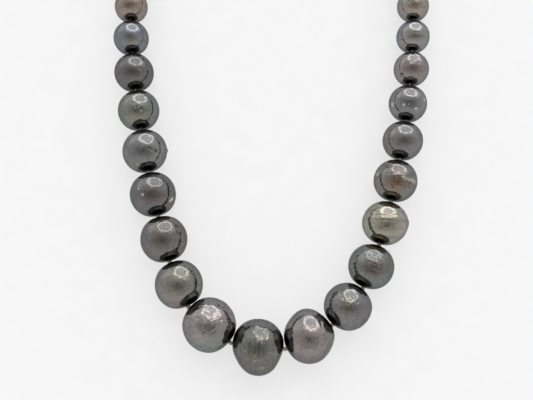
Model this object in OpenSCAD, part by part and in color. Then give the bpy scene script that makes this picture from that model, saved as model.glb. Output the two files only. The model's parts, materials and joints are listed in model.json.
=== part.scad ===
// Graduated strand of dark cultured pearls, knotted on silk, closed by a
// two-ball magnetic clasp and lying flat in a long loop.
// The origin is under the middle of the loop, on the surface it lies on.
// +Z is up, +Y runs from the front pearl to the clasp, and +X is the right arm.

/* [Pearls] */
// Width of the front centre pearl
front_width = 12.5; // [12:0.1:12.8]
// Length of a pearl along its drill hole, as a share of its width
length_share = 0.97; // [0.965:0.005:0.98]
// Width of the drill hole
drill_width = 0.9; // [0.8:0.05:1]
// Width of the chamfer at each mouth of the drill hole
chamfer_width = 1.2; // [1.1:0.05:1.2]

/* [Silk] */
// Width of the doubled silk thread inside the pearls
thread_width = 0.8; // [0.7:0.05:0.8]
// Width of a knot
knot_width = 1.1; // [1:0.05:1.1]
// Distance between two pearls where the strand is straight
knot_gap = 0.55; // [0.55:0.05:0.65]
// Distance left between two pearls on the inside of a sharp bend
touch_gap = 0.12; // [0.1:0.02:0.2]

/* [Clasp] */
// Width of each ball of the clasp
ball_width = 8; // [7.8:0.1:8.2]
// Wall of each hollow ball
ball_wall = 0.6; // [0.5:0.05:0.7]
// Width of the flat face where the two balls meet
face_width = 3.4; // [3:0.1:3.4]
// Distance between the two flat faces
face_gap = 0.36; // [0.36:0.02:0.4]
// Width of each disc magnet
magnet_width = 2.6; // [2.2:0.1:2.6]
// Thickness of each disc magnet
magnet_thick = 2.2; // [1.8:0.1:2.4]
// Thickness of the wire of the eyelets and of the bullion-wire loops
wire_width = 0.7; // [0.6:0.05:0.7]

/* [Lay of the strand] */
// Direction of the front pearl's drill hole, in degrees from +X
front_heading = -6.5; // [-6.6:0.1:-6.4]
// How fast the bends grow toward the clasp, in degrees
back_growth = 0.145; // [0.14:0.005:0.155]
// Place of the clasp across the loop, from the front pearl
clasp_across = 5; // [4.6:0.1:5.4]
// Place of the clasp along the loop, from the front pearl
clasp_along = 173.8; // [173.4:0.1:174.6]

/* [Hidden] */
// Pearl widths along each arm, from the front pearl to the clasp
right_widths = [12, 11.3, 11, 11, 10.7, 10, 9.6, 9, 8.6, 8.3,
                8.3, 8.2, 8.2, 8.1, 8.1, 8, 8, 8, 8, 8, 8];
left_widths = [12.7, 11.5, 11.4, 11.2, 11, 10.4, 10, 9, 8.6, 8.4,
               8.3, 8.3, 8.2, 8.2, 8.1, 8.1, 8, 8, 8, 8];
// Bend at each knot of the front, in degrees, from the front pearl outward
right_bends = [33, 22.5, 19, 5, 3, 3, 2, 2, 2.5, 3.5];
left_bends = [33, 26, 9, 1, 3.5, 1.5, 1, 2.5, 7];
// Overtone of each pearl, as a place in the list of tones
tones = ["#4a4a4c", "#474d47", "#554449", "#464e5c", "#57493f", "#6b6856"];
right_tones = [2, 0, 1, 5, 4, 0, 0, 2, 3, 4, 0, 1, 3, 2, 4, 0, 1, 5, 3, 0, 1];
left_tones = [2, 1, 4, 0, 0, 1, 0, 3, 4, 1, 0, 2, 3, 0, 4, 1, 5, 0, 3, 2];
front_tone = 1;
silk_tone = "#b9ad98";
silver_tone = "silver";
magnet_tone = "dimgray";
bullion_tone = "gainsboro";

// Pearls, counted from the front, whose silk is a piece of its own that they turn on
turning_pearls = [4, 8, 12, 16];

fine = 48;              // facets of a round shape
cap_share = 1.3;        // radius of a pearl's flatter ends, as a share of its radius
chamfer_depth = 0.12;   // depth of the chamfer at the drill hole
silk_slack = 0.06;      // clearance between a knot and the next thread
past = 0.5;             // how far a cutting shape runs past its surface

RIGHT = 1;
LEFT = -1;
clasp_at = [clasp_across, clasp_along];
function widths(side) = concat([front_width], side == RIGHT ? right_widths : left_widths);
function pearl_count(side) = len(widths(side)) - 1;

// How far a pearl's surface is from its middle, at an angle from its drill hole, as a
// share of its radius
cap_shift = cap_share - length_share;
function surface_at(angle) =
    min(1, sqrt(pow(cap_share, 2) - pow(cap_shift * sin(angle), 2)) - cap_shift * cos(angle));

// The room that two pearls of radius r need at a bend so that they don't touch
function bend_room(bend, r) =
    2 * r * (surface_at(bend / 2) / cos(bend / 2) - length_share) + touch_gap;

// Bends at the knots that are not worked out from the clasp's place
function bends(side) =
    let (front = side == RIGHT ? right_bends : left_bends,
         back_count = pearl_count(side) - 2 - len(front))
    concat(front, [for (j = [0 : back_count - 1]) back_growth * j * j]);

// Gap at the knot beyond pearl i
function gap(side, i) =
    let (w = widths(side), b = bends(side))
    i >= len(b) ? knot_gap : max(knot_gap, bend_room(b[i], (w[i] + w[i + 1]) / 4));

function heading(side, i) =
    let (b = bends(side), start = side == RIGHT ? front_heading : 180 + front_heading)
    i == 0 ? start : heading(side, i - 1) + side * b[i - 1];

function toward(angle) = [cos(angle), sin(angle)];

// Distance from knot to knot through pearl i
function link(side, i) =
    length_share * widths(side)[i] + (gap(side, max(i - 1, 0)) + gap(side, i)) / 2;

// The knot beyond pearl i, for the knots that follow from the bends
function open_knot(side, i) =
    i == 0 ? toward(heading(side, 0)) * (length_share * front_width + gap(side, 0)) / 2
           : open_knot(side, i - 1) + toward(heading(side, i)) * link(side, i);

// Parts of one clasp half, measured from the plane where the halves meet
ball_r = ball_width / 2;
face_back = face_gap / 2;
ball_mid = face_back + sqrt(pow(ball_r, 2) - pow(face_width / 2, 2));
wire_r = wire_width / 2;
eyelet_r = 1.05;                                  // middle of the eyelet's wire
eyelet_mid = ball_mid + ball_r + eyelet_r + 0.1;
bullion_r = 0.95;                                 // middle of the bullion loop's wire
bullion_mid = eyelet_mid + eyelet_r;
end_knot = bullion_mid + bullion_r + wire_r + knot_width / 2 + silk_slack;

// The last two pearls fold so that they meet the clasp exactly
function last_knots(side) =
    let (n = pearl_count(side), start = open_knot(side, n - 2),
         goal = clasp_at + [side * end_knot, 0], away = goal - start,
         near = link(side, n - 1), far = link(side, n), span = norm(away),
         fold = acos((near * near + span * span - far * far) / (2 * near * span)),
         angle = atan2(away[1], away[0]) - side * fold)
    [start + near * toward(angle), goal];

function flat_knots(side) =
    concat([for (i = [0 : pearl_count(side) - 2]) open_knot(side, i)], last_knots(side));

// Middle of each pearl, and the whole loop's extent, which centres the origin
function between(a, b) = (a + b) / 2;
function flat_mids(side) =
    let (k = flat_knots(side))
    concat([[0, 0]], [for (i = [1 : pearl_count(side)])
        k[i - 1] + (k[i] - k[i - 1]) *
        ((length_share * widths(side)[i] + gap(side, i - 1)) / 2) / norm(k[i] - k[i - 1])]);
mids_right = flat_mids(RIGHT);
mids_left = flat_mids(LEFT);
reach = concat(
    [for (i = [0 : len(mids_right) - 1]) [mids_right[i], widths(RIGHT)[i] / 2]],
    [for (i = [0 : len(mids_left) - 1]) [mids_left[i], widths(LEFT)[i] / 2]],
    [[clasp_at, ball_r]]);
function extent(axis) = [min([for (p = reach) p[0][axis] - p[1]]),
                         max([for (p = reach) p[0][axis] + p[1]])];
middle = [between(extent(0)[0], extent(0)[1]), between(extent(1)[0], extent(1)[1])];

// A knot is as high as the average of its two neighbours, and each drill hole runs
// straight from knot to knot through its pearl's middle. The strand is raised until
// its lowest pearl rests on the surface
function radius_at(side, i) = i > pearl_count(side) ? ball_r : widths(side)[i] / 2;
function knot_height(side, i) = between(radius_at(side, i), radius_at(side, i + 1));
function drill_height(side, i) =
    i == 0 ? between(knot_height(LEFT, 0), knot_height(RIGHT, 0))
           : between(knot_height(side, i - 1), knot_height(side, i));
rise = max([for (side = [RIGHT, LEFT], i = [0 : pearl_count(side)])
    radius_at(side, i) - drill_height(side, i)]);
function placed(p, z) = [p[0] - middle[0], p[1] - middle[1], z + rise];
knots_right = [for (i = [0 : pearl_count(RIGHT)])
    placed(flat_knots(RIGHT)[i], knot_height(RIGHT, i))];
knots_left = [for (i = [0 : pearl_count(LEFT)])
    placed(flat_knots(LEFT)[i], knot_height(LEFT, i))];
function knots(side) = side == RIGHT ? knots_right : knots_left;
function mid(side, i) =
    placed((side == RIGHT ? mids_right : mids_left)[i], drill_height(side, i));

function two_digits(i) = str(i < 10 ? "0" : "", i);
function side_name(side) = side == RIGHT ? "right" : "left";
function pearl_name(side, i) = str(side_name(side), "_pearl_", two_digits(i));
function silk_name(side, i) = str(side_name(side), "_silk_", two_digits(i));
function clasp_name(side, piece) = str(side_name(side), "_", piece);
function turns(i) = len(search(i, turning_pearls)) > 0;

clasp_pieces = ["bullion_loop", "clasp_eyelet", "clasp_ball", "clasp_magnet"];

// Turns local +Z onto the line from a to b, starting at `at`
module along(a, b, at) {
    d = b - a;
    translate(at)
        rotate([0, acos(d[2] / norm(d)), atan2(d[1], d[0])])
            children();
}

// Half of a drilled pearl's cross-section: a circle with flatter ends, less the drill
// hole and its chamfers
module pearl_outline(width) {
    r = width / 2;
    cap_r = cap_share * r;
    mouth = length_share * r;
    drill_r = drill_width / 2;
    flare = (chamfer_width / 2 - drill_r) / chamfer_depth;
    difference() {
        intersection() {
            circle(r, $fn = fine);
            translate([0, mouth - cap_r]) circle(cap_r, $fn = fine);
            translate([0, cap_r - mouth]) circle(cap_r, $fn = fine);
            translate([drill_r, -width]) square([width, 2 * width]);
        }
        for (end = [1, -1])
            polygon([[drill_r - past, end * (mouth - chamfer_depth - past / flare)],
                     [drill_r - past, end * (mouth + past)],
                     [drill_r + flare * (chamfer_depth + past), end * (mouth + past)]]);
    }
}

// A drilled pearl with its hole along the line from a to b and its middle at m
module drilled_pearl(width, a, b, m) {
    along(a, b, m) rotate_extrude($fn = fine) pearl_outline(width);
}

// The silk through a pearl: a thread between the knots a and b, with its knot at b,
// or knots at both ends
module silk_run(a, b, knots_at_both) {
    end = norm(b - a);
    start = knots_at_both ? 0 : knot_width / 2 + silk_slack;
    color(silk_tone) along(a, b, a) rotate_extrude($fn = fine) intersection() {
        union() {
            translate([0, start]) square([thread_width / 2, end - start]);
            for (at = knots_at_both ? [0, end] : [end])
                translate([0, at]) circle(d = knot_width, $fn = fine);
        }
        translate([0, -knot_width]) square([knot_width, end + 2 * knot_width]);
    }
}

module pearl_silk(side, i) {
    silk_run(knots(side)[i - 1], knots(side)[i], false);
}

module strung_pearl(side, i) {
    color(tones[(side == RIGHT ? right_tones : left_tones)[i - 1]])
        drilled_pearl(widths(side)[i], knots(side)[i - 1], knots(side)[i], mid(side, i));
    if (!turns(i)) pearl_silk(side, i);
}

module front_pearl() {
    color(tones[front_tone])
        drilled_pearl(front_width, knots_left[0], knots_right[0], mid(RIGHT, 0));
    silk_run(knots_left[0], knots_right[0], true);
}

// Places a clasp piece of one side, with local +Z pointing away from the other half
module clasp_side(side) {
    along([0, 0, 0], [side, 0, 0], placed(clasp_at, ball_r)) children();
}

module wire_ring(ring_r) {
    rotate_extrude($fn = fine) translate([ring_r, 0]) circle(wire_r, $fn = fine);
}

// Loop of bullion wire that guards the silk where it holds the eyelet
module bullion_loop(side) {
    color(bullion_tone) clasp_side(side)
        translate([0, 0, bullion_mid]) rotate([0, 90, 0]) wire_ring(bullion_r);
}

// Eyelet with a post that is soldered into the ball
module clasp_eyelet(side) {
    color(silver_tone) clasp_side(side) {
        translate([0, 0, eyelet_mid]) rotate([90, 0, 0]) wire_ring(eyelet_r);
        translate([0, 0, ball_mid + ball_r - ball_wall])
            cylinder(ball_wall + 0.1, r = wire_r, $fn = fine);
    }
}

// Hollow ball with a flat face, a cup for the magnet and a hole for the eyelet
module clasp_ball(side) {
    cup_wall = 0.45;
    cup_r = magnet_width / 2 + cup_wall;
    color(silver_tone) clasp_side(side) difference() {
        union() {
            difference() {
                translate([0, 0, ball_mid]) sphere(ball_r, $fn = fine);
                translate([0, 0, ball_mid]) sphere(ball_r - ball_wall, $fn = fine);
            }
            translate([0, 0, face_back]) cylinder(magnet_thick + cup_wall, r = cup_r, $fn = fine);
        }
        translate([0, 0, face_back - ball_width])
            cylinder(ball_width, d = ball_width, $fn = fine);
        translate([0, 0, face_back - past])
            cylinder(magnet_thick + cup_wall + 2 * past, d = magnet_width, $fn = fine);
        translate([0, 0, ball_mid + ball_r - ball_wall - past])
            cylinder(ball_wall + 2 * past, r = wire_r, $fn = fine);
    }
}

// Disc magnet, flush with the flat face
module clasp_magnet(side) {
    color(magnet_tone) clasp_side(side)
        translate([0, 0, face_back]) cylinder(magnet_thick, d = magnet_width, $fn = fine);
}

front_pearl();
for (side = [RIGHT, LEFT]) {
    for (i = [1 : pearl_count(side)])
        strung_pearl(side, i);
    for (i = turning_pearls)
        pearl_silk(side, i);
    bullion_loop(side);
    clasp_eyelet(side);
    clasp_ball(side);
    clasp_magnet(side);
}
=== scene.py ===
"""Looks of the dark pearl necklace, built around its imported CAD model. Lengths are in metres."""
import json
import math

import bpy
import numpy as np
from mathutils import Matrix, Vector


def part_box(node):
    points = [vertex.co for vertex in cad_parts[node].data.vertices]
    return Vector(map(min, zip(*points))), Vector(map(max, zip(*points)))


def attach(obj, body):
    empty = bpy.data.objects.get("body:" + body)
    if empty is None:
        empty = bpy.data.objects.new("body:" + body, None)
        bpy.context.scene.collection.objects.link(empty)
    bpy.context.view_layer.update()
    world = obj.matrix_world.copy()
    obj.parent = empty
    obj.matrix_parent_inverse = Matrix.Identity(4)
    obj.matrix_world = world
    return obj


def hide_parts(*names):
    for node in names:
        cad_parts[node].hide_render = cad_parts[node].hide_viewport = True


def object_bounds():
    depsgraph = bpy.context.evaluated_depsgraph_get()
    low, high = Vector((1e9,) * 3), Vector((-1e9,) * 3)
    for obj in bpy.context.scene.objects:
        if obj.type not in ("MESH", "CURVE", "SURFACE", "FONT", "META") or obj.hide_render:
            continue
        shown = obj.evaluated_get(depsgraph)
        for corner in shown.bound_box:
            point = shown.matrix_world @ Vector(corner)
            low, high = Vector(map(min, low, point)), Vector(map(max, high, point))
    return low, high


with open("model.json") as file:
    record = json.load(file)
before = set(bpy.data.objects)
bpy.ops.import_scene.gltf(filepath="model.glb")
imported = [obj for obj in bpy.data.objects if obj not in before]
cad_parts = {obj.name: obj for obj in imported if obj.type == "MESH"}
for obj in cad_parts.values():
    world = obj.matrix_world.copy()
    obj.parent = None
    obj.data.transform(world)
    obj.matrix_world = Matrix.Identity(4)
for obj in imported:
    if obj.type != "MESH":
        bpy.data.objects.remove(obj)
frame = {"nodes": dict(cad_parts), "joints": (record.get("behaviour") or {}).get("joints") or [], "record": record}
CAD_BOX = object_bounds()

MM = 0.001
FULL_TURN = 2 * math.pi
SIDES = ("left", "right")

# ---------------------------------------------------------------- camera
CAMERA_ELEVATION = 77.6       # degrees above the surface the necklace lies on
CAMERA_FOV = 32.0             # vertical angle of view, in degrees
CAMERA_REACH = 0.960          # distance, as a share of the loop's length
AIM_ACROSS = 0.4810           # where the camera aims, as shares of the loop's width
AIM_ALONG = 0.2308            # and length
SENSOR_HEIGHT = 24.0          # in millimetres
OUTLINE = 0.999               # marks stay this far from a pearl's middle, over its radius


def add_camera():
    """Makes the camera and returns its right, up and back directions, and its place."""
    low, high = Vector(CAD_BOX[0]), Vector(CAD_BOX[1])
    size = high - low
    aim = Vector((low.x + AIM_ACROSS * size.x, low.y + AIM_ALONG * size.y, 0))
    tip = math.radians(CAMERA_ELEVATION)
    back = Vector((0, -math.cos(tip), math.sin(tip)))
    right = Vector((1, 0, 0))
    up = back.cross(right)
    data = bpy.data.cameras.new("camera")
    data.sensor_fit = "VERTICAL"
    data.sensor_height = SENSOR_HEIGHT
    data.lens = SENSOR_HEIGHT / 2 / math.tan(math.radians(CAMERA_FOV / 2))
    data.clip_start = 0.005
    camera = bpy.data.objects.new("camera", data)
    bpy.context.scene.collection.objects.link(camera)
    turn = Matrix((right, up, back)).transposed().to_4x4()
    place = aim + back * CAMERA_REACH * size.y
    camera.matrix_world = Matrix.Translation(place) @ turn
    bpy.context.scene.camera = camera
    return (right, up, back), place


VIEW, VIEWED_FROM = add_camera()
VIEW_RIGHT, VIEW_UP, VIEW_BACK = VIEW


def upper_side(middle):
    """Right, up and back directions of the side of a pearl that faces the photo's camera."""
    back = (VIEWED_FROM - Vector(middle)).normalized()
    right = VIEW_UP.cross(back).normalized()
    return right, back.cross(right), back


def facing(x, y, side=VIEW):
    """Direction from a pearl's middle to a point of that side, given by the point's place
    across and up as shares of the radius."""
    x, y = float(x), float(y)
    far = math.hypot(x, y)
    if far > OUTLINE:
        x, y = x * OUTLINE / far, y * OUTLINE / far
    deep = math.sqrt(1 - x * x - y * y)
    return np.array(side[0] * x + side[1] * y + side[2] * deep)


# ---------------------------------------------------------------- node helpers
def node(tree, kind, inputs=None, **settings):
    """Adds a shader node. An input is a constant, or a socket to link from."""
    made = tree.nodes.new(kind)
    for key, value in settings.items():
        setattr(made, key, value)
    for key, value in (inputs or {}).items():
        socket = made.inputs[key]
        if isinstance(value, bpy.types.NodeSocket):
            tree.links.new(value, socket)
        else:
            socket.default_value = value
    return made


def colour(rgb):
    return (*rgb, 1.0)


def new_material(name):
    """An empty node material, its tree and its output."""
    material = bpy.data.materials.new(name)
    material.use_nodes = True
    tree = material.node_tree
    tree.nodes.clear()
    return material, tree, tree.nodes.new("ShaderNodeOutputMaterial")


def object_place(tree):
    """Place on the piece itself, so that patterns move with it."""
    return node(tree, "ShaderNodeTexCoord").outputs["Object"]


def maths(tree, operation, a, b=0.0):
    return node(tree, "ShaderNodeMath", {0: a, 1: b}, operation=operation).outputs[0]


def vector_maths(tree, operation, a, b=(0.0, 0.0, 0.0)):
    return node(tree, "ShaderNodeVectorMath", {0: a, 1: tuple(b)}, operation=operation)


def dot(tree, vector, direction):
    return vector_maths(tree, "DOT_PRODUCT", vector, direction).outputs["Value"]


def ease(tree, value, low, high, to_low=0.0, to_high=1.0):
    """Smooth step of a value between two edges, from to_low to to_high."""
    return node(tree, "ShaderNodeMapRange",
                {"Value": value, "From Min": low, "From Max": high,
                 "To Min": to_low, "To Max": to_high},
                interpolation_type="SMOOTHSTEP").outputs["Result"]


def blend_colour(tree, share, a, b):
    """Colour a, with a share of colour b over it."""
    mix = node(tree, "ShaderNodeMix", data_type="RGBA")
    for key, value in ((0, share), (6, a), (7, b)):    # the factor and the two colour sockets
        if isinstance(value, bpy.types.NodeSocket):
            tree.links.new(value, mix.inputs[key])
        else:
            mix.inputs[key].default_value = value
    return mix.outputs[2]


def noise(tree, vector, scale, detail=2.0, rough=0.5, distort=0.0):
    return node(tree, "ShaderNodeTexNoise",
                {"Vector": vector, "Scale": scale, "Detail": detail,
                 "Roughness": rough, "Distortion": distort}).outputs["Fac"]


def bumped(tree, height, strength, distance):
    """Normal of a skin with a small relief."""
    return node(tree, "ShaderNodeBump", {"Height": height, "Strength": strength,
                                         "Distance": distance}).outputs["Normal"]


# ---------------------------------------------------------------- nacre
LUSTRE = 0.185                # share of light that the nacre mirrors
RIM = (0.42, 0.42, 0.43)      # how much of the mirrored light is left towards the rim
ROUGH_LOW, ROUGH_HIGH = 0.04, 0.10
COAT = {"Coat Weight": 0.25, "Coat Roughness": 0.04, "Coat IOR": 1.5}
# Patterns of the nacre: how many lie across a radius of the pearl
CLOUD_PITCH = 1.3
MOTTLE_PITCH = 9.0
FLECK_PITCH = 16.0
LINE_DRIFT_PITCH = 1.8
LINE_BREAK_PITCH = 3.5
SPOT_EDGE_PITCH = 24.0
SKIN_PITCH = 8.0
PRICK_PITCH = 15.0
LINE_DRIFT = 9.0              # how far the growth lines wander, in radians of their wave
LINE_DEPTH = 0.12             # their depth as a share of the skin's relief
# Shades of the patterns, as shares of the pearl's own colour
DEEP_CLOUD, PALE_CLOUD = 0.92, 1.10
MOTTLE, MOTTLE_SHARE = 0.50, 0.65
FLECK, FLECK_SHARE = 1.80, 0.60
GROWTH_LINE = 0.42
# Painted shade at the drill ends, as a share of the pearl's own colour
DRILL_END_PAINTED_SHADE = 0.55
PAINTED_SHADE_FROM, PAINTED_SHADE_TO = 0.80, 0.90   # where painted shade darkens the ends by a drill hole, as cosines, so that neighbours mirrored in a pearl look dark
FOOT_AT = (0.1, -0.95)        # middle of the second overtone, across and up


def tint(r, g, b):
    return (r * LUSTRE, g * LUSTRE, b * LUSTRE)


# Body colour of each overtone
TONES = {
    "pearl_grey": tint(1.00, 0.985, 0.985),
    "pearl_green": tint(0.94, 0.98, 0.94),
    "pearl_aubergine": tint(1.04, 0.98, 0.985),
    "pearl_blue": tint(0.93, 0.97, 1.06),
    "pearl_bronze": tint(1.04, 1.00, 0.95),
    "pearl_khaki": tint(1.25, 1.24, 1.05),
}
# Blush that a pearl may have over it
BLUSHES = {
    "brown": tint(0.98, 0.78, 0.69),
    "rose": tint(1.22, 0.97, 0.97),
    "amber": tint(1.26, 1.02, 0.80),
    "olive": tint(1.12, 1.04, 0.82),
    "smoke": tint(0.70, 0.70, 0.72),
    "lavender": tint(0.96, 0.98, 1.26),
    "green": tint(0.86, 1.02, 0.92),
    "copper": tint(1.17, 0.80, 0.56),
    "petal": tint(1.42, 1.20, 1.16),
}


def nacre(name, tone, radius, drill_way, side, look):
    """Dark mother-of-pearl: a metallic lustre under a clear coat, with a blush, cloudy
    overtones, growth lines and fine skin."""
    seed = look["seed"]
    material, tree, out = new_material(name)
    place = object_place(tree)
    unit = node(tree, "ShaderNodeVectorMath", {0: place, "Scale": 1 / radius},
                operation="SCALE").outputs["Vector"]
    way = node(tree, "ShaderNodeVectorMath", {0: place}, operation="NORMALIZE").outputs["Vector"]
    # Each pearl has its own part of every pattern
    moved = vector_maths(tree, "ADD", unit, (seed * 3.1, seed * 1.7, seed * 2.3)).outputs["Vector"]

    def own(rgb, share=1.0):
        return colour([c * look["bright"] * share for c in rgb])

    def near(x, y):
        return dot(tree, way, facing(x, y, side))

    body = TONES[tone]
    cloud = noise(tree, moved, CLOUD_PITCH, 3.0, 0.55, 0.6)
    base = blend_colour(tree, ease(tree, cloud, 0.35, 0.68),
                        own(body, DEEP_CLOUD), own(body, PALE_CLOUD))
    # The blush sits round one point of the skin, with a cloudy edge
    reach = look["blush_reach"]
    cloudy = maths(tree, "MULTIPLY", maths(tree, "SUBTRACT", cloud, 0.5), 0.5)
    share = ease(tree, maths(tree, "ADD", near(*look["blush_at"]), cloudy),
                 math.cos(reach * 1.5), math.cos(reach * 0.35), 0.0, look["blush_strength"])
    base = blend_colour(tree, share, base, own(BLUSHES[look["blush"]]))
    # A second overtone round the lower edge
    share = ease(tree, near(*FOOT_AT), 0.45, 1.0, 0.0, look["foot_strength"])
    base = blend_colour(tree, share, base, own(BLUSHES[look["foot"]]))
    # Mottling and fine flecks
    mottle = noise(tree, moved, MOTTLE_PITCH, 4.0, 0.7, 0.5)
    share = ease(tree, mottle, 0.46, 0.68, 0.0, MOTTLE_SHARE)
    base = blend_colour(tree, share, base, own(body, MOTTLE))
    share = ease(tree, noise(tree, moved, FLECK_PITCH, 3.0, 0.6), 0.56, 0.72, 0.0, FLECK_SHARE)
    base = blend_colour(tree, share, base, own(body, FLECK))
    # Growth lines that run round the pearl
    along = maths(tree, "MULTIPLY", dot(tree, unit, look["line_axis"]), look["line_count"])
    drift = maths(tree, "MULTIPLY", noise(tree, moved, LINE_DRIFT_PITCH, 3.0, 0.5), LINE_DRIFT)
    wave = maths(tree, "SINE", maths(tree, "ADD", along, drift))
    streak = maths(tree, "MULTIPLY", ease(tree, wave, 0.2, 0.95),
                   ease(tree, noise(tree, moved, LINE_BREAK_PITCH, 3.0, 0.6), 0.38, 0.60))
    base = blend_colour(tree, maths(tree, "MULTIPLY", streak, look["lines"]), base,
                        own(body, GROWTH_LINE))
    # Painted shade: the ends by the drill hole are darkened, so that the neighbouring pearls mirrored in a pearl
    # look dark
    end = maths(tree, "ABSOLUTE", dot(tree, way, drill_way))
    base = blend_colour(tree, ease(tree, end, PAINTED_SHADE_FROM, PAINTED_SHADE_TO), base, own(body, DRILL_END_PAINTED_SHADE))
    # Chalky, golden and dark marks with a ragged edge
    for x, y, wide, mark in look["spots"]:
        spot = ease(tree, near(x, y), math.cos(wide * 1.3), math.cos(wide * 0.5))
        edge = ease(tree, noise(tree, moved, SPOT_EDGE_PITCH, 2.0), 0.30, 0.62)
        base = blend_colour(tree, maths(tree, "MULTIPLY", spot, edge), base, colour(mark))
    # Relief: the skin, the growth lines, and fine pricks where the skin is hammered
    height = noise(tree, moved, SKIN_PITCH, 1.0)
    height = maths(tree, "ADD", height, maths(tree, "MULTIPLY", wave, look["lines"] * LINE_DEPTH))
    share = ease(tree, near(*look["hammer_at"]), look["hammer_edge"] - 0.5, 1.0, 0.0,
                 look["pricks"])
    grain = ease(tree, noise(tree, moved, PRICK_PITCH, 1.0, 0.5), 0.56, 0.70)
    height = maths(tree, "SUBTRACT", height, maths(tree, "MULTIPLY", grain, share))
    shader = node(tree, "ShaderNodeBsdfPrincipled",
                  {"Base Color": base, "Metallic": 1.0, "Specular Tint": colour(RIM),
                   "Roughness": ease(tree, mottle, 0.35, 0.7, ROUGH_LOW, ROUGH_HIGH),
                   "Normal": bumped(tree, height, 1.0, look["relief"] * radius), **COAT})
    tree.links.new(shader.outputs[0], out.inputs[0])
    return material


# ---------------------------------------------------------------- meshes
def put(name, points, faces, material, body, stands_for=(), at=(0, 0, 0)):
    """Makes a smooth piece from points about `at`, riding on a body."""
    mesh = bpy.data.meshes.new(name)
    mesh.from_pydata([tuple(p) for p in points], [], [tuple(f) for f in faces])
    mesh.polygons.foreach_set("use_smooth", [True] * len(mesh.polygons))
    mesh.materials.append(material)
    mesh.update()
    piece = bpy.data.objects.new(name, mesh)
    bpy.context.scene.collection.objects.link(piece)
    piece.location = at
    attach(piece, body)
    if stands_for:
        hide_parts(*stands_for)


def grid_faces(rows, columns, closed_rows):
    """Quads of a grid of points that closes round its columns, and also its rows."""
    r = np.arange(rows if closed_rows else rows - 1)
    c = np.arange(columns)
    rr, cc = np.meshgrid(r, c, indexing="ij")
    r2, c2 = (rr + 1) % rows, (cc + 1) % columns
    quads = np.stack([rr * columns + cc, rr * columns + c2, r2 * columns + c2,
                      r2 * columns + cc], -1)
    return quads.reshape(-1, 4).tolist()


def with_end_faces(faces, rows, columns):
    """Closes the first and the last row of a grid with a flat face."""
    faces.append(list(range(columns))[::-1])
    faces.append([(rows - 1) * columns + i for i in range(columns)])
    return faces


def circle(count):
    """Angles of evenly spaced points round a circle."""
    return np.linspace(0, FULL_TURN, count, endpoint=False)


def axes_along(direction):
    """A 3 by 3 array whose columns are local x, y and z, with z along the direction."""
    z = np.array(direction, float)
    z /= np.linalg.norm(z)
    side = np.cross((0, 0, 1), z) if abs(z[2]) < 0.9 else np.cross((0, 1, 0), z)
    side /= np.linalg.norm(side)
    return np.stack([side, np.cross(z, side), z], 1)


def tube(path, radius, sides, closed):
    """Points and faces of a round tube along a path, with flat ends if it is open."""
    path = np.array(path, float)
    ahead = np.roll(path, -1, 0) - np.roll(path, 1, 0)
    if not closed:
        ahead[0], ahead[-1] = path[1] - path[0], path[-1] - path[-2]
    ahead /= np.linalg.norm(ahead, axis=1)[:, None]
    normal = np.zeros_like(path)
    last = axes_along(ahead[0])[:, 0]
    for i, way in enumerate(ahead):
        last = last - way * last.dot(way)
        last /= np.linalg.norm(last)
        normal[i] = last
    other = np.cross(ahead, normal)
    twist = 0.0
    if closed:  # carries the frame round so that the last ring meets the first
        way = ahead[0]
        end = normal[-1] - way * normal[-1].dot(way)
        twist = math.atan2(end.dot(other[0]), end.dot(normal[0]))
    fix = -twist * np.arange(len(path)) / len(path)
    angle = circle(sides)[None, :] + fix[:, None]
    points = (path[:, None, :] + radius * (np.cos(angle)[..., None] * normal[:, None, :]
                                           + np.sin(angle)[..., None] * other[:, None, :]))
    faces = grid_faces(len(path), sides, closed)
    if not closed:
        faces = with_end_faces(faces, len(path), sides)
    return points.reshape(-1, 3), faces


def joined(parts):
    """One list of points and faces from several."""
    points, faces, count = [], [], 0
    for p, f in parts:
        points.append(np.asarray(p))
        faces += [[i + count for i in face] for face in f]
        count += len(p)
    return np.concatenate(points), faces


def lathe(profile, sides, closed):
    """Turns a profile of (radius, height) about z, with flat ends if it is open."""
    profile = np.array(profile, float)
    turn = circle(sides)
    ring = np.stack([np.cos(turn), np.sin(turn)], -1)
    points = np.concatenate([profile[:, None, :1] * ring[None], np.broadcast_to(
        profile[:, None, 1:], (len(profile), sides, 1))], -1)
    faces = grid_faces(len(profile), sides, closed)
    if not closed:
        faces = with_end_faces(faces, len(profile), sides)
    return points.reshape(-1, 3), faces


# ---------------------------------------------------------------- pearls
LENGTH_SHARE = 0.97           # length of a pearl along its drill hole, over its width
CAP_SHARE = 1.3               # radius of its flatter ends, over its radius
DRILL = 0.45 * MM             # radius of the drill hole
MOUTH = 0.62 * MM             # radius of the drill hole's worn mouth
WORN = 0.09 * MM              # how far its edge is worn
BLEND = 60.0                  # how sharply the flatter ends run into the ball
FRONT_ROWS, FRONT_COLUMNS = 110, 150
BACK_ROWS, BACK_COLUMNS = 72, 96
# Pitch of each kind of unevenness, in radians of its waves to a radius of the pearl
GROWTH_PITCH, RIPPLE_PITCH, RING_DRIFT_PITCH = 2.6, 6.5, 2.0
DENT_PITCH, FINE_DENT_PITCH = 15.0, 30.0


def wobble(directions, rng, pitch, count=18):
    """Smooth random field over directions, mostly between -1 and 1."""
    waves = rng.normal(size=(count, 3))
    waves *= pitch * rng.uniform(0.7, 1.3, (count, 1)) / np.linalg.norm(waves, axis=1)[:, None]
    phase = rng.uniform(0, FULL_TURN, count)
    return np.sin(directions @ waves.T + phase).sum(-1) / math.sqrt(count)


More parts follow.
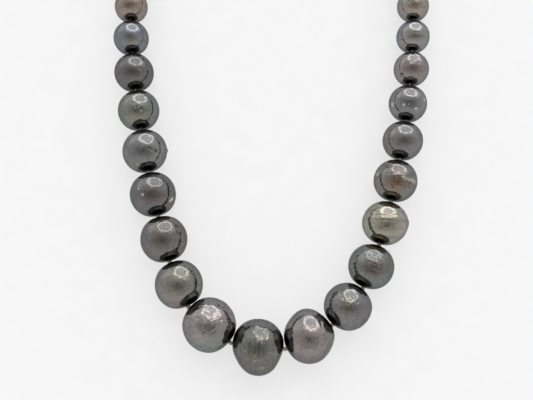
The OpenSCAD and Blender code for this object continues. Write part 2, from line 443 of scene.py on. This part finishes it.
def pearl_points(radius, frame_axes, side, look, rows, columns):
    """The skin of a drilled pearl round the origin, and the wall of its drill hole."""
    rng = np.random.default_rng(look["seed"])
    edge = math.asin(MOUTH / radius)
    turn = circle(columns)
    p, t = np.meshgrid(np.linspace(edge, math.pi - edge, rows), turn, indexing="ij")
    local = np.stack([np.sin(p) * np.cos(t), np.sin(p) * np.sin(t), np.cos(p)], -1)
    world = local @ frame_axes.T
    # Plain form: a ball whose ends along the drill hole are flatter
    shift = CAP_SHARE - LENGTH_SHARE
    cap = -shift * np.abs(np.cos(p)) + np.sqrt(CAP_SHARE ** 2 - (shift * np.sin(p)) ** 2)
    size = -np.log(np.exp(-BLEND * cap) + np.exp(-BLEND)) / BLEND + math.log(2) / BLEND * 0.5
    clear = np.clip(np.sin(p) * 1.35, 0, 1) ** 2      # leaves the ends alone
    # Off-round growth, drawn out along one direction and narrower at one end
    out = world @ facing(*look["long_at"], side)
    grow = look["long"] * (out ** 2 - 0.33) - look["egg"] * out ** 3
    grow += look["lumps"] * wobble(world, rng, GROWTH_PITCH)
    grow += 0.2 * look["lumps"] * wobble(world, rng, RIPPLE_PITCH, 24)
    size = size * (1 + clear * grow)
    # Hammered skin, strongest round one point
    spread = np.clip((world @ facing(*look["hammer_at"], side) - look["hammer_edge"]) * 3.0, 0, 1)
    dents = np.maximum(wobble(world, rng, DENT_PITCH, 26), 0) ** 1.5
    dents += 0.5 * np.maximum(wobble(world, rng, FINE_DENT_PITCH, 40), 0) ** 1.5
    size -= clear * look["hammer"] * (look["all_over"] + spread) * dents
    # Circled growth rings
    along = world @ look["line_axis"]
    for place, deep, wide in look["rings"]:
        wandering = place + 0.03 * wobble(world, rng, RING_DRIFT_PITCH, 8)
        size -= clear * deep * np.exp(-((along - wandering) / wide) ** 2)
    # Pits and nubs
    for x, y, wide, deep in look["pits"]:
        away = np.arccos(np.clip(world @ facing(x, y, side), -1, 1))
        size -= deep * np.exp(-(away / wide) ** 2)
    skin = local * (size * radius)[..., None]
    # The mouth of the drill hole is broken by wear, then the wall runs through
    top, foot = skin[0, :, 2].mean(), skin[-1, :, 2].mean()
    ring = np.stack([np.cos(turn), np.sin(turn), np.zeros(columns)], -1)
    bore = [ring * (DRILL + WORN * 0.4) + (0, 0, foot + WORN * 0.5),
            ring * DRILL + (0, 0, foot + WORN * 1.6)]
    for share in (0.25, 0.5, 0.75):
        bore.append(ring * DRILL + (0, 0, foot + (top - foot) * share))
    bore += [ring * DRILL + (0, 0, top - WORN * 1.6),
             ring * (DRILL + WORN * 0.4) + (0, 0, top - WORN * 0.5)]
    grid = np.concatenate([skin, np.stack(bore)])
    points = grid.reshape(-1, 3) @ frame_axes.T
    return points, grid_faces(len(grid), columns, True)


# Marks of the skin, and the axis of rings that run across the view
GOLD = (0.32, 0.23, 0.12)
CHALK = (0.60, 0.59, 0.56)
SCAR = (0.035, 0.028, 0.022)
OCHRE = (0.18, 0.12, 0.075)
PALE = (0.46, 0.44, 0.39)
ACROSS = tuple(facing(0, 0.999))

# A look. Places are (across, up) on the upper side of the pearl, as shares of its radius.
# Reaches and widths are angles in radians, edges are cosines, and depths are shares of the
# radius. A spot is (across, up, width, colour), a pit (across, up, width, depth), and a ring
# (place along line_axis, depth, width). A nub is a pit of negative depth.
PLAIN_LOOK = {
    "bright": 1.0,
    # The blush round one point, and the one round the lower edge
    "blush": "smoke", "blush_at": (0, -0.05), "blush_reach": 0.55, "blush_strength": 0.7,
    "foot": "smoke", "foot_strength": 0.0,
    # Growth: drawn out along one direction, narrower at that end, and uneven
    "long_at": (0, 0.99), "long": 0.0, "egg": 0.0, "lumps": 0.006,
    # Depth of the dents, where they are strongest, and their share elsewhere
    "hammer": 0.0050, "hammer_at": (0.2, 0.5), "hammer_edge": 0.75, "all_over": 0.22,
    # Strength of the fine pricks among the dents, and depth of the finest relief
    "pricks": 0.0, "relief": 0.006,
    # Growth lines, with their pitch like the ones above, rings that stand out, single marks
    "lines": 0.25, "line_count": 14.0, "line_axis": (0, 0.3, 0.954),
    "rings": [], "spots": [], "pits": [],
}

# What each pearl of the front has of its own
LOOKS = {
    "front_pearl": dict(
        bright=0.90, blush="amber", blush_at=(0.05, -0.3), blush_reach=0.9, blush_strength=0.22,
        foot="smoke", foot_strength=0.3, long=0.08, egg=0.055, lumps=0.008,
        hammer=0.007, hammer_at=(0.1, 0.75), hammer_edge=0.6, all_over=0.45, pricks=0.5,
        lines=0.42, line_count=38.0, line_axis=tuple(facing(0.999, 0)),
        spots=[(-0.45, 0.35, 0.08, OCHRE), (-0.5, -0.2, 0.05, GOLD), (-0.1, -0.38, 0.05, GOLD),
               (0.32, 0.3, 0.06, GOLD), (0.15, -0.78, 0.09, GOLD), (-0.12, -0.55, 0.05, GOLD),
               (0.72, 0.15, 0.12, OCHRE), (0.78, -0.05, 0.08, GOLD), (-0.42, 0.1, 0.07, OCHRE)],
        pits=[(0.15, -0.78, 0.08, 0.022), (0.32, 0.3, 0.06, 0.012), (-0.5, -0.2, 0.05, 0.010),
              (-0.1, -0.38, 0.05, 0.010), (0.7, 0.1, 0.08, 0.012), (-0.6, 0.35, 0.09, 0.012),
              (-0.78, -0.6, 0.5, 0.065), (0.8, -0.55, 0.45, 0.058)]),
    "left_pearl_01": dict(
        bright=1.2, blush="petal", blush_at=(-0.05, 0.0), blush_reach=0.5, blush_strength=0.7,
        foot="green", foot_strength=0.75, long=0.03, lumps=0.009,
        hammer=0.011, hammer_at=(0.2, 0.5), hammer_edge=0.55, all_over=0.30, pricks=0.15,
        spots=[(0.1, -0.12, 0.07, OCHRE)],
        pits=[(0.1, -0.12, 0.06, 0.012), (-0.05, -0.1, 0.05, 0.01), (-0.5, 0.62, 0.10, 0.014),
              (-0.64, 0.5, 0.05, 0.012), (-0.42, 0.74, 0.05, 0.012), (-0.34, 0.6, 0.04, 0.010),
              (-0.2, -0.2, 0.05, 0.008)]),
    "right_pearl_01": dict(
        bright=1.08, blush="petal", blush_at=(0.0, -0.1), blush_reach=0.55, blush_strength=0.95,
        foot="rose", foot_strength=0.6, long=0.06, long_at=(-0.35, 0.93), egg=-0.02, lumps=0.008,
        hammer=0.010, hammer_at=(0.85, -0.1), hammer_edge=0.6, all_over=0.25, pricks=0.6,
        pits=[(-0.3, -0.1, 0.04, 0.008), (-0.2, -0.12, 0.03, 0.007), (0.75, 0.35, 0.12, 0.012),
              (-0.12, 0.98, 0.42, -0.055), (0.97, 0.2, 0.35, -0.035), (-0.4, -0.9, 0.6, -0.02),
              (0.83, -0.52, 0.45, 0.060), (-0.75, 0.62, 0.45, 0.030)]),
    "left_pearl_02": dict(
        bright=1.08, blush="olive", blush_at=(-0.1, 0.05), blush_reach=0.8, blush_strength=0.6,
        foot="rose", foot_strength=0.8, long=0.03, hammer=0.005,
        pits=[(0.55, 0.45, 0.06, 0.012), (0.65, 0.6, 0.05, 0.012), (-0.5, -0.5, 0.04, 0.007),
              (0.1, -0.4, 0.03, 0.006)]),
    "right_pearl_02": dict(
        blush="olive", blush_at=(0.05, 0.0), blush_reach=0.42, blush_strength=0.8,
        hammer=0.008, hammer_at=(0.1, 0.45), hammer_edge=0.6,
        pits=[(0.998, -0.03, 0.25, -0.018)]),
    "left_pearl_03": dict(
        bright=0.87, blush="brown", blush_at=(-0.15, -0.1), blush_reach=0.45, blush_strength=0.6,
        long=0.03, hammer=0.009, hammer_at=(0.35, 0.45), hammer_edge=0.7, pricks=0.25, lines=0.2),
    "right_pearl_03": dict(
        bright=0.96, blush="brown", blush_at=(0.15, -0.1), blush_reach=0.42, blush_strength=0.9,
        foot="green", foot_strength=0.5,
        hammer=0.012, hammer_at=(0.0, 0.65), hammer_edge=0.5, pricks=0.35,
        spots=[(0.3, 0.9, 0.40, OCHRE), (0.22, 0.72, 0.08, GOLD)]),
    "left_pearl_04": dict(
        bright=0.82, blush="brown", blush_at=(0.0, -0.1), blush_reach=0.4, blush_strength=0.75,
        spots=[(-0.45, 0.0, 0.07, CHALK), (0.8, -0.2, 0.09, CHALK), (0.72, -0.28, 0.06, CHALK),
               (-0.62, 0.25, 0.05, CHALK)],
        pits=[(-0.45, 0.0, 0.05, 0.012), (0.8, -0.2, 0.07, 0.014)]),
    "right_pearl_04": dict(
        bright=1.32, blush="amber", blush_at=(0.1, -0.1), blush_reach=0.55, blush_strength=0.6,
        foot="green", foot_strength=0.3, long=-0.03,
        hammer=0.007, hammer_at=(-0.5, 0.0), hammer_edge=0.8,
        lines=0.4, line_count=16.0, line_axis=ACROSS,
        rings=[(0.42, 0.012, 0.035), (0.22, 0.007, 0.03), (0.05, 0.004, 0.02),
               (-0.75, 0.006, 0.05)],
        spots=[(0.1, -0.1, 0.07, OCHRE), (-0.15, -0.15, 0.05, OCHRE), (0.2, 0.05, 0.04, OCHRE)],
        pits=[(0.1, -0.1, 0.05, 0.012), (-0.15, -0.15, 0.04, 0.01), (0.998, 0.02, 0.14, -0.03)]),
    "left_pearl_05": dict(
        bright=1.05, blush="smoke", blush_at=(-0.2, -0.05), blush_reach=0.5, blush_strength=0.5,
        spots=[(-0.32, -0.58, 0.08, GOLD), (0.18, 0.16, 0.06, SCAR), (0.28, 0.12, 0.06, SCAR),
               (0.38, 0.08, 0.07, OCHRE), (0.48, 0.04, 0.07, SCAR), (0.56, 0.0, 0.05, OCHRE)],
        pits=[(0.18, 0.16, 0.05, 0.020), (0.28, 0.12, 0.06, 0.028), (0.38, 0.08, 0.06, 0.028),
              (0.48, 0.03, 0.06, 0.024), (0.998, 0.05, 0.07, -0.038), (-0.32, -0.58, 0.06, 0.014)]),
    "right_pearl_05": dict(
        bright=1.02, blush="copper", blush_at=(0.05, -0.1), blush_reach=0.48, blush_strength=0.95,
        foot="green", foot_strength=0.4, hammer=0.007, hammer_at=(-0.1, 0.6), hammer_edge=0.6,
        lines=0.4, line_axis=ACROSS,
        rings=[(0.35, 0.008, 0.03), (0.1, 0.006, 0.03), (-0.1, 0.004, 0.02)],
        spots=[(0.36, 0.18, 0.08, PALE), (0.46, 0.13, 0.08, PALE), (0.56, 0.08, 0.08, PALE),
               (0.66, 0.04, 0.09, PALE), (0.76, 0.0, 0.10, PALE), (0.86, -0.05, 0.10, PALE),
               (0.52, -0.02, 0.06, SCAR), (0.66, -0.09, 0.06, SCAR), (-0.8, 0.32, 0.12, PALE),
               (-0.1, -0.3, 0.04, SCAR)],
        pits=[(0.45, 0.06, 0.07, 0.016), (0.60, 0.0, 0.08, 0.022), (0.76, -0.06, 0.07, 0.018),
              (-0.8, 0.3, 0.08, 0.014)]),
    "left_pearl_06": dict(
        bright=1.05, blush="olive", blush_at=(0.0, -0.1), blush_reach=0.55, blush_strength=0.75,
        hammer=0.006,
        spots=[(-0.14, 0.14, 0.05, CHALK), (0.0, 0.2, 0.05, CHALK), (0.12, 0.02, 0.05, CHALK),
               (-0.04, 0.08, 0.06, SCAR), (0.1, 0.1, 0.05, SCAR), (-0.18, 0.02, 0.04, SCAR)],
        pits=[(-0.14, 0.1, 0.05, 0.020), (-0.02, 0.14, 0.05, 0.022), (0.1, 0.08, 0.05, 0.022),
              (0.16, 0.0, 0.04, 0.016), (0.6, -0.35, 0.05, 0.010), (0.5, -0.48, 0.05, 0.010)]),
    "right_pearl_06": dict(
        blush="brown", blush_at=(0.0, -0.05), blush_reach=0.45, blush_strength=0.6,
        foot="lavender", foot_strength=0.35),
    "left_pearl_07": dict(
        bright=0.76, blush="brown", blush_at=(-0.1, -0.1), blush_reach=0.45, blush_strength=0.5,
        spots=[(0.28, 0.2, 0.07, GOLD), (0.36, 0.12, 0.05, GOLD)],
        pits=[(0.28, 0.2, 0.06, 0.016), (0.36, 0.12, 0.04, 0.012)]),
    "right_pearl_07": dict(
        bright=1.15, blush="smoke", blush_strength=0.5, line_axis=ACROSS,
        rings=[(-0.02, 0.004, 0.03)],
        spots=[(-0.2, -0.05, 0.09, CHALK), (0.05, -0.02, 0.05, CHALK),
               (-0.78, -0.02, 0.10, CHALK), (0.42, -0.25, 0.07, CHALK), (0.85, 0.2, 0.09, CHALK)],
        pits=[(-0.2, -0.05, 0.06, 0.014), (0.05, -0.02, 0.05, 0.012), (-0.78, -0.02, 0.07, 0.014)]),
    "left_pearl_08": dict(
        bright=1.05, blush="olive", blush_at=(0.0, -0.15), blush_reach=0.4, blush_strength=0.5,
        foot="lavender", foot_strength=0.5, hammer=0.002),
    "right_pearl_08": dict(
        bright=1.24, blush="brown", blush_at=(0.1, 0.0), blush_reach=0.6, blush_strength=0.8,
        lumps=0.008, hammer=0.008, hammer_at=(0.2, 0.2), hammer_edge=0.5),
    "left_pearl_09": dict(
        bright=1.3, blush="copper", blush_at=(-0.1, 0.0), blush_reach=1.0, blush_strength=0.72),
    "right_pearl_09": dict(
        bright=1.3, blush="olive", blush_at=(0.1, -0.2), blush_reach=0.9, blush_strength=0.6,
        lines=0.3, line_count=15.0, line_axis=ACROSS,
        rings=[(0.1, 0.008, 0.03), (-0.05, 0.005, 0.03)]),
    "right_pearl_10": dict(
        bright=1.35, blush="amber", blush_at=(0.3, 0.0), blush_reach=0.7, blush_strength=0.7,
        lines=0.2, line_axis=ACROSS),
}


def hidden_look(seed):
    """A look for a pearl of the back, drawn from the same kinds of marks."""
    rng = np.random.default_rng(1000 + seed)
    at = rng.uniform(-0.4, 0.4, 2)
    marks = rng.uniform(-0.65, 0.65, (int(rng.integers(1, 4)), 2))
    tilt = rng.uniform(-1, 1, 2) * 0.6
    return dict(
        blush=str(rng.choice(["brown", "smoke", "olive", "rose", "lavender"])),
        blush_at=tuple(at), blush_reach=float(rng.uniform(0.4, 0.8)),
        blush_strength=float(rng.uniform(0.4, 0.8)),
        foot=str(rng.choice(["green", "rose", "smoke"])), foot_strength=float(rng.uniform(0, 0.5)),
        hammer=float(rng.uniform(0.002, 0.007)), hammer_at=tuple(rng.uniform(-0.6, 0.6, 2)),
        lumps=float(rng.uniform(0.004, 0.009)), line_axis=tuple(facing(*tilt)),
        lines=float(rng.uniform(0.05, 0.3)),
        spots=[(*m, 0.05, GOLD if rng.random() < 0.5 else CHALK) for m in marks],
        pits=[(*m, 0.05, 0.012) for m in marks])


# ---------------------------------------------------------------- silk
PLY = 0.2 * MM                # radius of each of the two plies
PLY_PITCH = 1.5 * MM          # length of one turn of the plies
PLY_TURNS_AT = 16             # points on each turn
KNOT = 0.55 * MM              # radius of a knot
KNOT_WAIST = 0.62             # middle radius and height of its loops, over their full reach
THREAD_FROM = KNOT + 0.19 * MM   # start of a thread, clear of the last knot when it bends
FIBRES = 5200.0               # scale of the silk's fibres
SOILING = 900.0               # scale of its worn patches


def silk_material():
    """Cream silk with visible fibres, greyed a little by wear."""
    material, tree, out = new_material("silk")
    place = object_place(tree)
    fibre = node(tree, "ShaderNodeTexWave",
                 {"Vector": place, "Scale": FIBRES, "Distortion": 2.0, "Detail": 2.0},
                 bands_direction="DIAGONAL").outputs["Fac"]
    soil = ease(tree, noise(tree, place, SOILING, 3.0), 0.4, 0.7, 0.0, 0.5)
    base = blend_colour(tree, fibre, colour((0.40, 0.36, 0.29)), colour((0.62, 0.58, 0.50)))
    base = blend_colour(tree, soil, base, colour((0.34, 0.30, 0.23)))
    shader = node(tree, "ShaderNodeBsdfPrincipled",
                  {"Base Color": base, "Roughness": ease(tree, fibre, 0.0, 1.0, 0.45, 0.7),
                   "Sheen Weight": 0.4, "Sheen Roughness": 0.4,
                   "Normal": bumped(tree, fibre, 0.5, 0.03 * MM)})
    tree.links.new(shader.outputs[0], out.inputs[0])
    return material


def knot_parts(axes, at, phase):
    """An overhand knot drawn tight: thread that winds twice round in three loops."""
    turn = circle(84)
    ring = KNOT_WAIST + (1 - KNOT_WAIST) * np.cos(3 * turn)
    path = np.stack([ring * np.cos(2 * turn + phase), ring * np.sin(2 * turn + phase),
                     KNOT_WAIST * np.sin(3 * turn)], -1)
    reach = np.linalg.norm(path, axis=1).max()
    path = path / reach * (KNOT - PLY * 0.8)
    return tube(path @ axes.T + at, PLY, 8, True)


def silk_parts(a, b, start, stop, knots_at):
    """Two plies twisted along the line from a to b, and the knots on it."""
    axes = axes_along(b - a)
    turns = (stop - start) / PLY_PITCH
    along = np.linspace(0, 1, max(6, int(turns * PLY_TURNS_AT)))
    parts = []
    for first_angle in (0, math.pi):
        angle = FULL_TURN * turns * along + first_angle
        path = np.stack([PLY * np.cos(angle), PLY * np.sin(angle),
                         start + (stop - start) * along], -1)
        parts.append(tube(path @ axes.T + a, PLY * 0.98, 8, False))
    for i, at in enumerate(knots_at):
        phase = 1.1 * i + 40 * (stop - start) / MM     # each knot is turned differently
        parts.append(knot_parts(axes, at, phase))
    return parts


# ---------------------------------------------------------------- the strand
def add_pearl(name, a, b, order, is_front):
    """A pearl between the knots at a and b."""
    low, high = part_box(name)
    radius = (high.z - low.z) / 2
    middle = (a + b) / 2
    look = dict(PLAIN_LOOK, seed=order)
    look.update(LOOKS[name] if name in LOOKS else hidden_look(order))
    rows, columns = (FRONT_ROWS, FRONT_COLUMNS) if is_front else (BACK_ROWS, BACK_COLUMNS)
    side = upper_side(middle)
    points, faces = pearl_points(radius, axes_along(b - a), side, look, rows, columns)
    drill_way = (b - a) / np.linalg.norm(b - a)
    material = nacre("nacre_" + name, slots[name], radius, drill_way, side, look)
    put(name + "_skin", points, faces, material, name, [name], middle)


def add_silk(name, body, a, b, both_ends, stands_for):
    """The thread from the knot at a to the knot at b, with the knot at b or both."""
    span = np.linalg.norm(b - a)
    start = 0.0 if both_ends else THREAD_FROM
    points, faces = joined(silk_parts(a, b, start, span, [a, b] if both_ends else [b]))
    put(name, points, faces, silk, body, stands_for)


slots = {part["node"]: part["material_slot"] for part in frame["record"]["subparts"]}
knots = {side: {} for side in SIDES}
for joint in frame["joints"]:
    words = joint["name"].split("_")          # knot, side, number and motion
    if words[0] == "knot":
        knots[words[1]][int(words[2])] = np.array(joint["pos_m"])
silk = silk_material()
ends = knots["left"][1], knots["right"][1]
add_pearl("front_pearl", *ends, 0, True)
add_silk("front_silk", "front_pearl", *ends, True, ())
order = 1
for side in SIDES:
    for number in range(1, len(knots[side])):
        ends = knots[side][number], knots[side][number + 1]
        pearl_name = f"{side}_pearl_{number:02d}"
        silk_name = f"{side}_silk_{number:02d}"
        turning = silk_name in frame["nodes"]      # the pearl turns on a thread of its own
        add_pearl(pearl_name, *ends, order, pearl_name in LOOKS)
        add_silk(silk_name + "_thread", silk_name if turning else pearl_name, *ends, False,
                 [silk_name] if turning else ())
        order += 1


# ---------------------------------------------------------------- clasp
BALL_WALL = 0.6 * MM
POST = 0.35 * MM              # radius of the eyelet's post, and of its hole in the ball
RIM = 0.12 * MM               # rounding of the ball's rim and of the magnet's edge
BEHIND_MAGNET = 0.4 * MM      # thickness of the cup's floor
CUP_WALL = 0.45 * MM
FILLET = 0.34 * MM            # flare of solder where the post meets the ball
WIRE = 0.085 * MM             # radius of the bullion's wire
WIRE_STEP = 2.15              # room for each turn of the coil, in radii of the wire
TARNISHED = 0.72              # brightness of tarnished metal over that of clean metal


def metal(name, base, rough_low, rough_high, scale):
    """Polished metal with faint handling marks."""
    material, tree, out = new_material(name)
    place = object_place(tree)
    tarnish = ease(tree, noise(tree, place, scale, 4.0, 0.6), 0.45, 0.75, 0.0, 0.5)
    shade = blend_colour(tree, tarnish, colour(base), colour([c * TARNISHED for c in base]))
    drawn_out = node(tree, "ShaderNodeMapping", {"Vector": place, "Scale": (1, 14, 1),
                                                 "Rotation": (0.3, 0.2, 0.7)}).outputs[0]
    scratch = noise(tree, drawn_out, scale * 4, 2.0)
    shader = node(tree, "ShaderNodeBsdfPrincipled",
                  {"Base Color": shade, "Metallic": 1.0,
                   "Normal": bumped(tree, scratch, 0.08, 0.02 * MM),
                   "Roughness": ease(tree, scratch, 0.35, 0.7, rough_low, rough_high)})
    tree.links.new(shader.outputs[0], out.inputs[0])
    return material


silver = metal("silver", (0.56, 0.55, 0.535), 0.07, 0.18, 700.0)
bullion = metal("bullion", (0.52, 0.51, 0.49), 0.16, 0.30, 1500.0)
plated = metal("plated_magnet", (0.42, 0.42, 0.44), 0.22, 0.40, 900.0)


def arc(radius, centre, start, stop, count):
    """Profile points of a circle about (0, centre), angles from the far pole."""
    return [(radius * math.sin(a), centre + radius * math.cos(a))
            for a in np.linspace(start, stop, count)]


def middle_and_size(name):
    low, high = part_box(name)
    return (low + high) / 2, high - low


def ring_path(radius, middle, upright):
    """Points of a circle that stands in the plane of x and z, or lies in that of x and y."""
    turn = circle(60)
    second = radius * np.sin(turn)
    level = 0 * turn
    others = (level, second) if upright else (second, level)
    return np.stack([radius * np.cos(turn), *others], -1) + np.array(middle)


def add_ball_shell(side, radius, centre, magnet_r, deep, axes, at):
    """Hollow ball half with a hole for the eyelet and a cup for the magnet."""
    face_angle = math.acos(-centre / radius)
    face_r = radius * math.sin(face_angle)
    inner = radius - BALL_WALL
    cup_r = magnet_r + CUP_WALL
    # Outer skin, from the eyelet's hole to the rolled rim of the flat face
    profile = arc(radius, centre, math.asin(POST / radius), face_angle - 0.09, 44)
    profile += [(face_r + 0.02 * MM, RIM * 0.9), (face_r - RIM * 0.35, RIM * 0.25),
                (face_r - RIM, 0.0), (magnet_r + RIM * 0.8, 0.0),
                (magnet_r + RIM * 0.2, RIM * 0.2), (magnet_r, RIM * 0.8),
                (magnet_r, deep), (magnet_r, deep + BEHIND_MAGNET), (cup_r, deep + BEHIND_MAGNET)]
    # Inner skin, back to the hole
    cup_meets = math.pi - math.asin(cup_r / inner)
    profile += [(cup_r, centre + inner * math.cos(cup_meets) + 0.02 * MM)]
    profile += arc(inner, centre, cup_meets, math.asin(POST / inner), 30)
    points, faces = lathe(profile, 96, True)
    put(f"{side}_ball_shell", points @ axes.T + at, faces, silver, f"{side}_clasp",
        [f"{side}_clasp_ball"])


def add_magnet(side, magnet_r, deep, axes, at):
    """Disc magnet with a broken edge."""
    r = magnet_r - 0.01 * MM
    profile = [(r * 0.02, deep), (r - RIM, deep), (r - RIM * 0.3, deep - RIM * 0.3),
               (r, deep - RIM), (r, RIM), (r - RIM * 0.3, RIM * 0.3), (r - RIM, 0.0),
               (r * 0.02, 0.0)]
    points, faces = lathe(profile, 72, False)
    put(f"{side}_magnet_disc", points @ axes.T + at, faces, plated, f"{side}_clasp",
        [f"{side}_clasp_magnet"])


def add_eyelet(side, way, seat, axes, at):
    """Soldered ring on a post with a flared foot."""
    low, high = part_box(f"{side}_clasp_eyelet")
    wire = (high.y - low.y) / 2
    ring_r = (high.z - low.z) / 2 - wire
    far = high.x if way > 0 else low.x
    ring = ring_path(ring_r, (far - way * (ring_r + wire), at[1], at[2]), True)
    profile = [(POST * 0.1, seat - BALL_WALL), (POST * 0.98, seat - BALL_WALL),
               (POST * 0.98, seat - 0.14 * MM)]
    profile += [(POST + FILLET * (1 - t) ** 2 + 0.02 * MM, seat - 0.10 * MM + FILLET * t)
                for t in np.linspace(0, 1, 8)]
    profile += [(POST * 0.1, seat + 0.25 * MM)]
    collar, collar_faces = lathe(profile, 40, False)
    points, faces = joined([tube(ring, wire, 20, True), (collar @ axes.T + at, collar_faces)])
    put(f"{side}_eyelet_ring", points, faces, silver, f"{side}_clasp",
        [f"{side}_clasp_eyelet"])


def add_bullion(side):
    """Fine wire coiled round the silk loop that the clasp hangs on."""
    middle, size = middle_and_size(f"{side}_bullion_loop")
    coil_r = size.z / 2
    loop_r = size.x / 2 - coil_r
    turns = int(FULL_TURN * loop_r / (WIRE * WIRE_STEP))
    s = circle(turns * 14)
    out = loop_r + (coil_r - WIRE) * np.cos(turns * s)
    path = np.stack([out * np.cos(s), out * np.sin(s), (coil_r - WIRE) * np.sin(turns * s)], -1)
    coil = tube(path + np.array(middle), WIRE, 6, True)
    core = tube(ring_path(loop_r, middle, False), coil_r - WIRE * 2.1, 8, True)
    points, faces = joined([coil, core])
    put(f"{side}_bullion_coil", points, faces, bullion, f"{side}_bullion_loop",
        [f"{side}_bullion_loop"])


def add_clasp(side):
    """Half of the clasp and the bullion loop it hangs on. Its axis runs along x, and its
    flat face is turned to the other half."""
    way = 1 if side == "right" else -1
    low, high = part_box(f"{side}_clasp_ball")
    radius = (high.z - low.z) / 2
    centre = high.x - low.x - radius   # of the ball, from its flat face
    at = np.array([(low if way > 0 else high).x, (low.y + high.y) / 2, (low.z + high.z) / 2])
    axes = axes_along((way, 0, 0))
    _, magnet_size = middle_and_size(f"{side}_clasp_magnet")
    magnet_r, deep = magnet_size.y / 2, magnet_size.x
    add_ball_shell(side, radius, centre, magnet_r, deep, axes, at)
    add_magnet(side, magnet_r, deep, axes, at)
    add_eyelet(side, way, centre + radius, axes, at)
    add_bullion(side)


for side in SIDES:
    add_clasp(side)


# ---------------------------------------------------------------- floor and light
FLOOR_RADIUS = 3.0
FLOOR_BELOW = 0.02 * MM       # gap under the necklace
FLOOR_GLOW = 0.64             # even light of its own, as on a backlit table
FLOOR_CORNERS = 96

TENT = 0.97                   # brightness of the light tent
OPENING = 0.38                # brightness of its opening for the camera
OPENING_SIZE = 55.0           # how far the darker part reaches, in degrees
OPENING_SHAPE = 0.62          # its height over its width
RING_HEIGHT = 0.55            # where the ring lamp is mirrored in a pearl, above its middle
RING_ACROSS = 0.10            # and to the right of it
RING_SIZE = 27.0              # the ring lamp's radius as seen from the strand, in degrees
RING_WIDE = 8.0               # half the width of its tube
RING_LIGHT = 2.0
GLOW_SIZE = 60.0              # reach of the soft glow round the lamp, in degrees
GLOW_LIGHT = 0.75
PANEL_AT = (-0.5, 0.42)       # where a soft side panel is mirrored in a pearl
PANEL_SIZE = 26.0             # its reach, in degrees
PANEL_LIGHT = 0.45


def add_floor():
    """A pale, even table top."""
    material, tree, out = new_material("floor")
    grain = noise(tree, object_place(tree), 180.0, 3.0)
    shade = blend_colour(tree, ease(tree, grain, 0.3, 0.7), colour((0.270, 0.270, 0.272)),
                         colour((0.285, 0.285, 0.287)))
    diffuse = node(tree, "ShaderNodeBsdfDiffuse", {"Color": shade}).outputs[0]
    glow = node(tree, "ShaderNodeEmission",
                {"Color": colour((1, 1, 1)), "Strength": FLOOR_GLOW}).outputs[0]
    both = node(tree, "ShaderNodeAddShader", {0: diffuse, 1: glow}).outputs[0]
    tree.links.new(both, out.inputs[0])
    mesh = bpy.data.meshes.new("floor")
    mesh.from_pydata([(FLOOR_RADIUS * math.cos(a), FLOOR_RADIUS * math.sin(a), 0)
                      for a in circle(FLOOR_CORNERS)], [], [list(range(FLOOR_CORNERS))])
    mesh.materials.append(material)
    floor = bpy.data.objects.new("floor", mesh)
    bpy.context.scene.collection.objects.link(floor)
    floor.location.z = -FLOOR_BELOW


def mirrored_from(x, y):
    """Direction of a lamp that a pearl mirrors to the camera at a point of its skin."""
    normal = Vector(facing(x, y))
    return normal * 2 * normal.dot(VIEW_BACK) - VIEW_BACK


def add_light():
    """A white tent with a darker opening, a ring lamp with a soft glow round it, and a
    soft side panel, all fixed in the world."""
    world = bpy.data.worlds.new("tent")
    bpy.context.scene.world = world
    world.use_nodes = True
    tree = world.node_tree
    tree.nodes.clear()
    out = tree.nodes.new("ShaderNodeOutputWorld")
    way = node(tree, "ShaderNodeTexCoord").outputs["Generated"]
    # An oval opening round the line from the strand to the camera
    across = maths(tree, "MULTIPLY", dot(tree, way, VIEW_RIGHT), OPENING_SHAPE)
    along = dot(tree, way, VIEW_UP)
    squares = maths(tree, "ADD", maths(tree, "MULTIPLY", across, across),
                    maths(tree, "MULTIPLY", along, along))
    opening = ease(tree, maths(tree, "SQRT", squares),
                   0.0, math.sin(math.radians(OPENING_SIZE)), OPENING, TENT)
    # The ring lamp and its glow
    angle = maths(tree, "ARCCOSINE", dot(tree, way, mirrored_from(RING_ACROSS, RING_HEIGHT)))
    off = maths(tree, "ABSOLUTE", maths(tree, "SUBTRACT", angle, math.radians(RING_SIZE)))
    ring = ease(tree, off, 0.0, math.radians(RING_WIDE), RING_LIGHT, 0.0)
    glow = ease(tree, angle, 0.0, math.radians(GLOW_SIZE), GLOW_LIGHT, 0.0)
    # The panel
    panel = maths(tree, "ARCCOSINE", dot(tree, way, mirrored_from(*PANEL_AT)))
    panel = ease(tree, panel, 0.0, math.radians(PANEL_SIZE), PANEL_LIGHT, 0.0)
    total = maths(tree, "ADD", maths(tree, "ADD", opening, ring), maths(tree, "ADD", glow, panel))
    background = node(tree, "ShaderNodeBackground",
                      {"Color": colour((1, 1, 1)), "Strength": total}).outputs[0]
    tree.links.new(background, out.inputs[0])


add_floor()
add_light()
bpy.context.scene.view_settings.view_transform = "Standard"
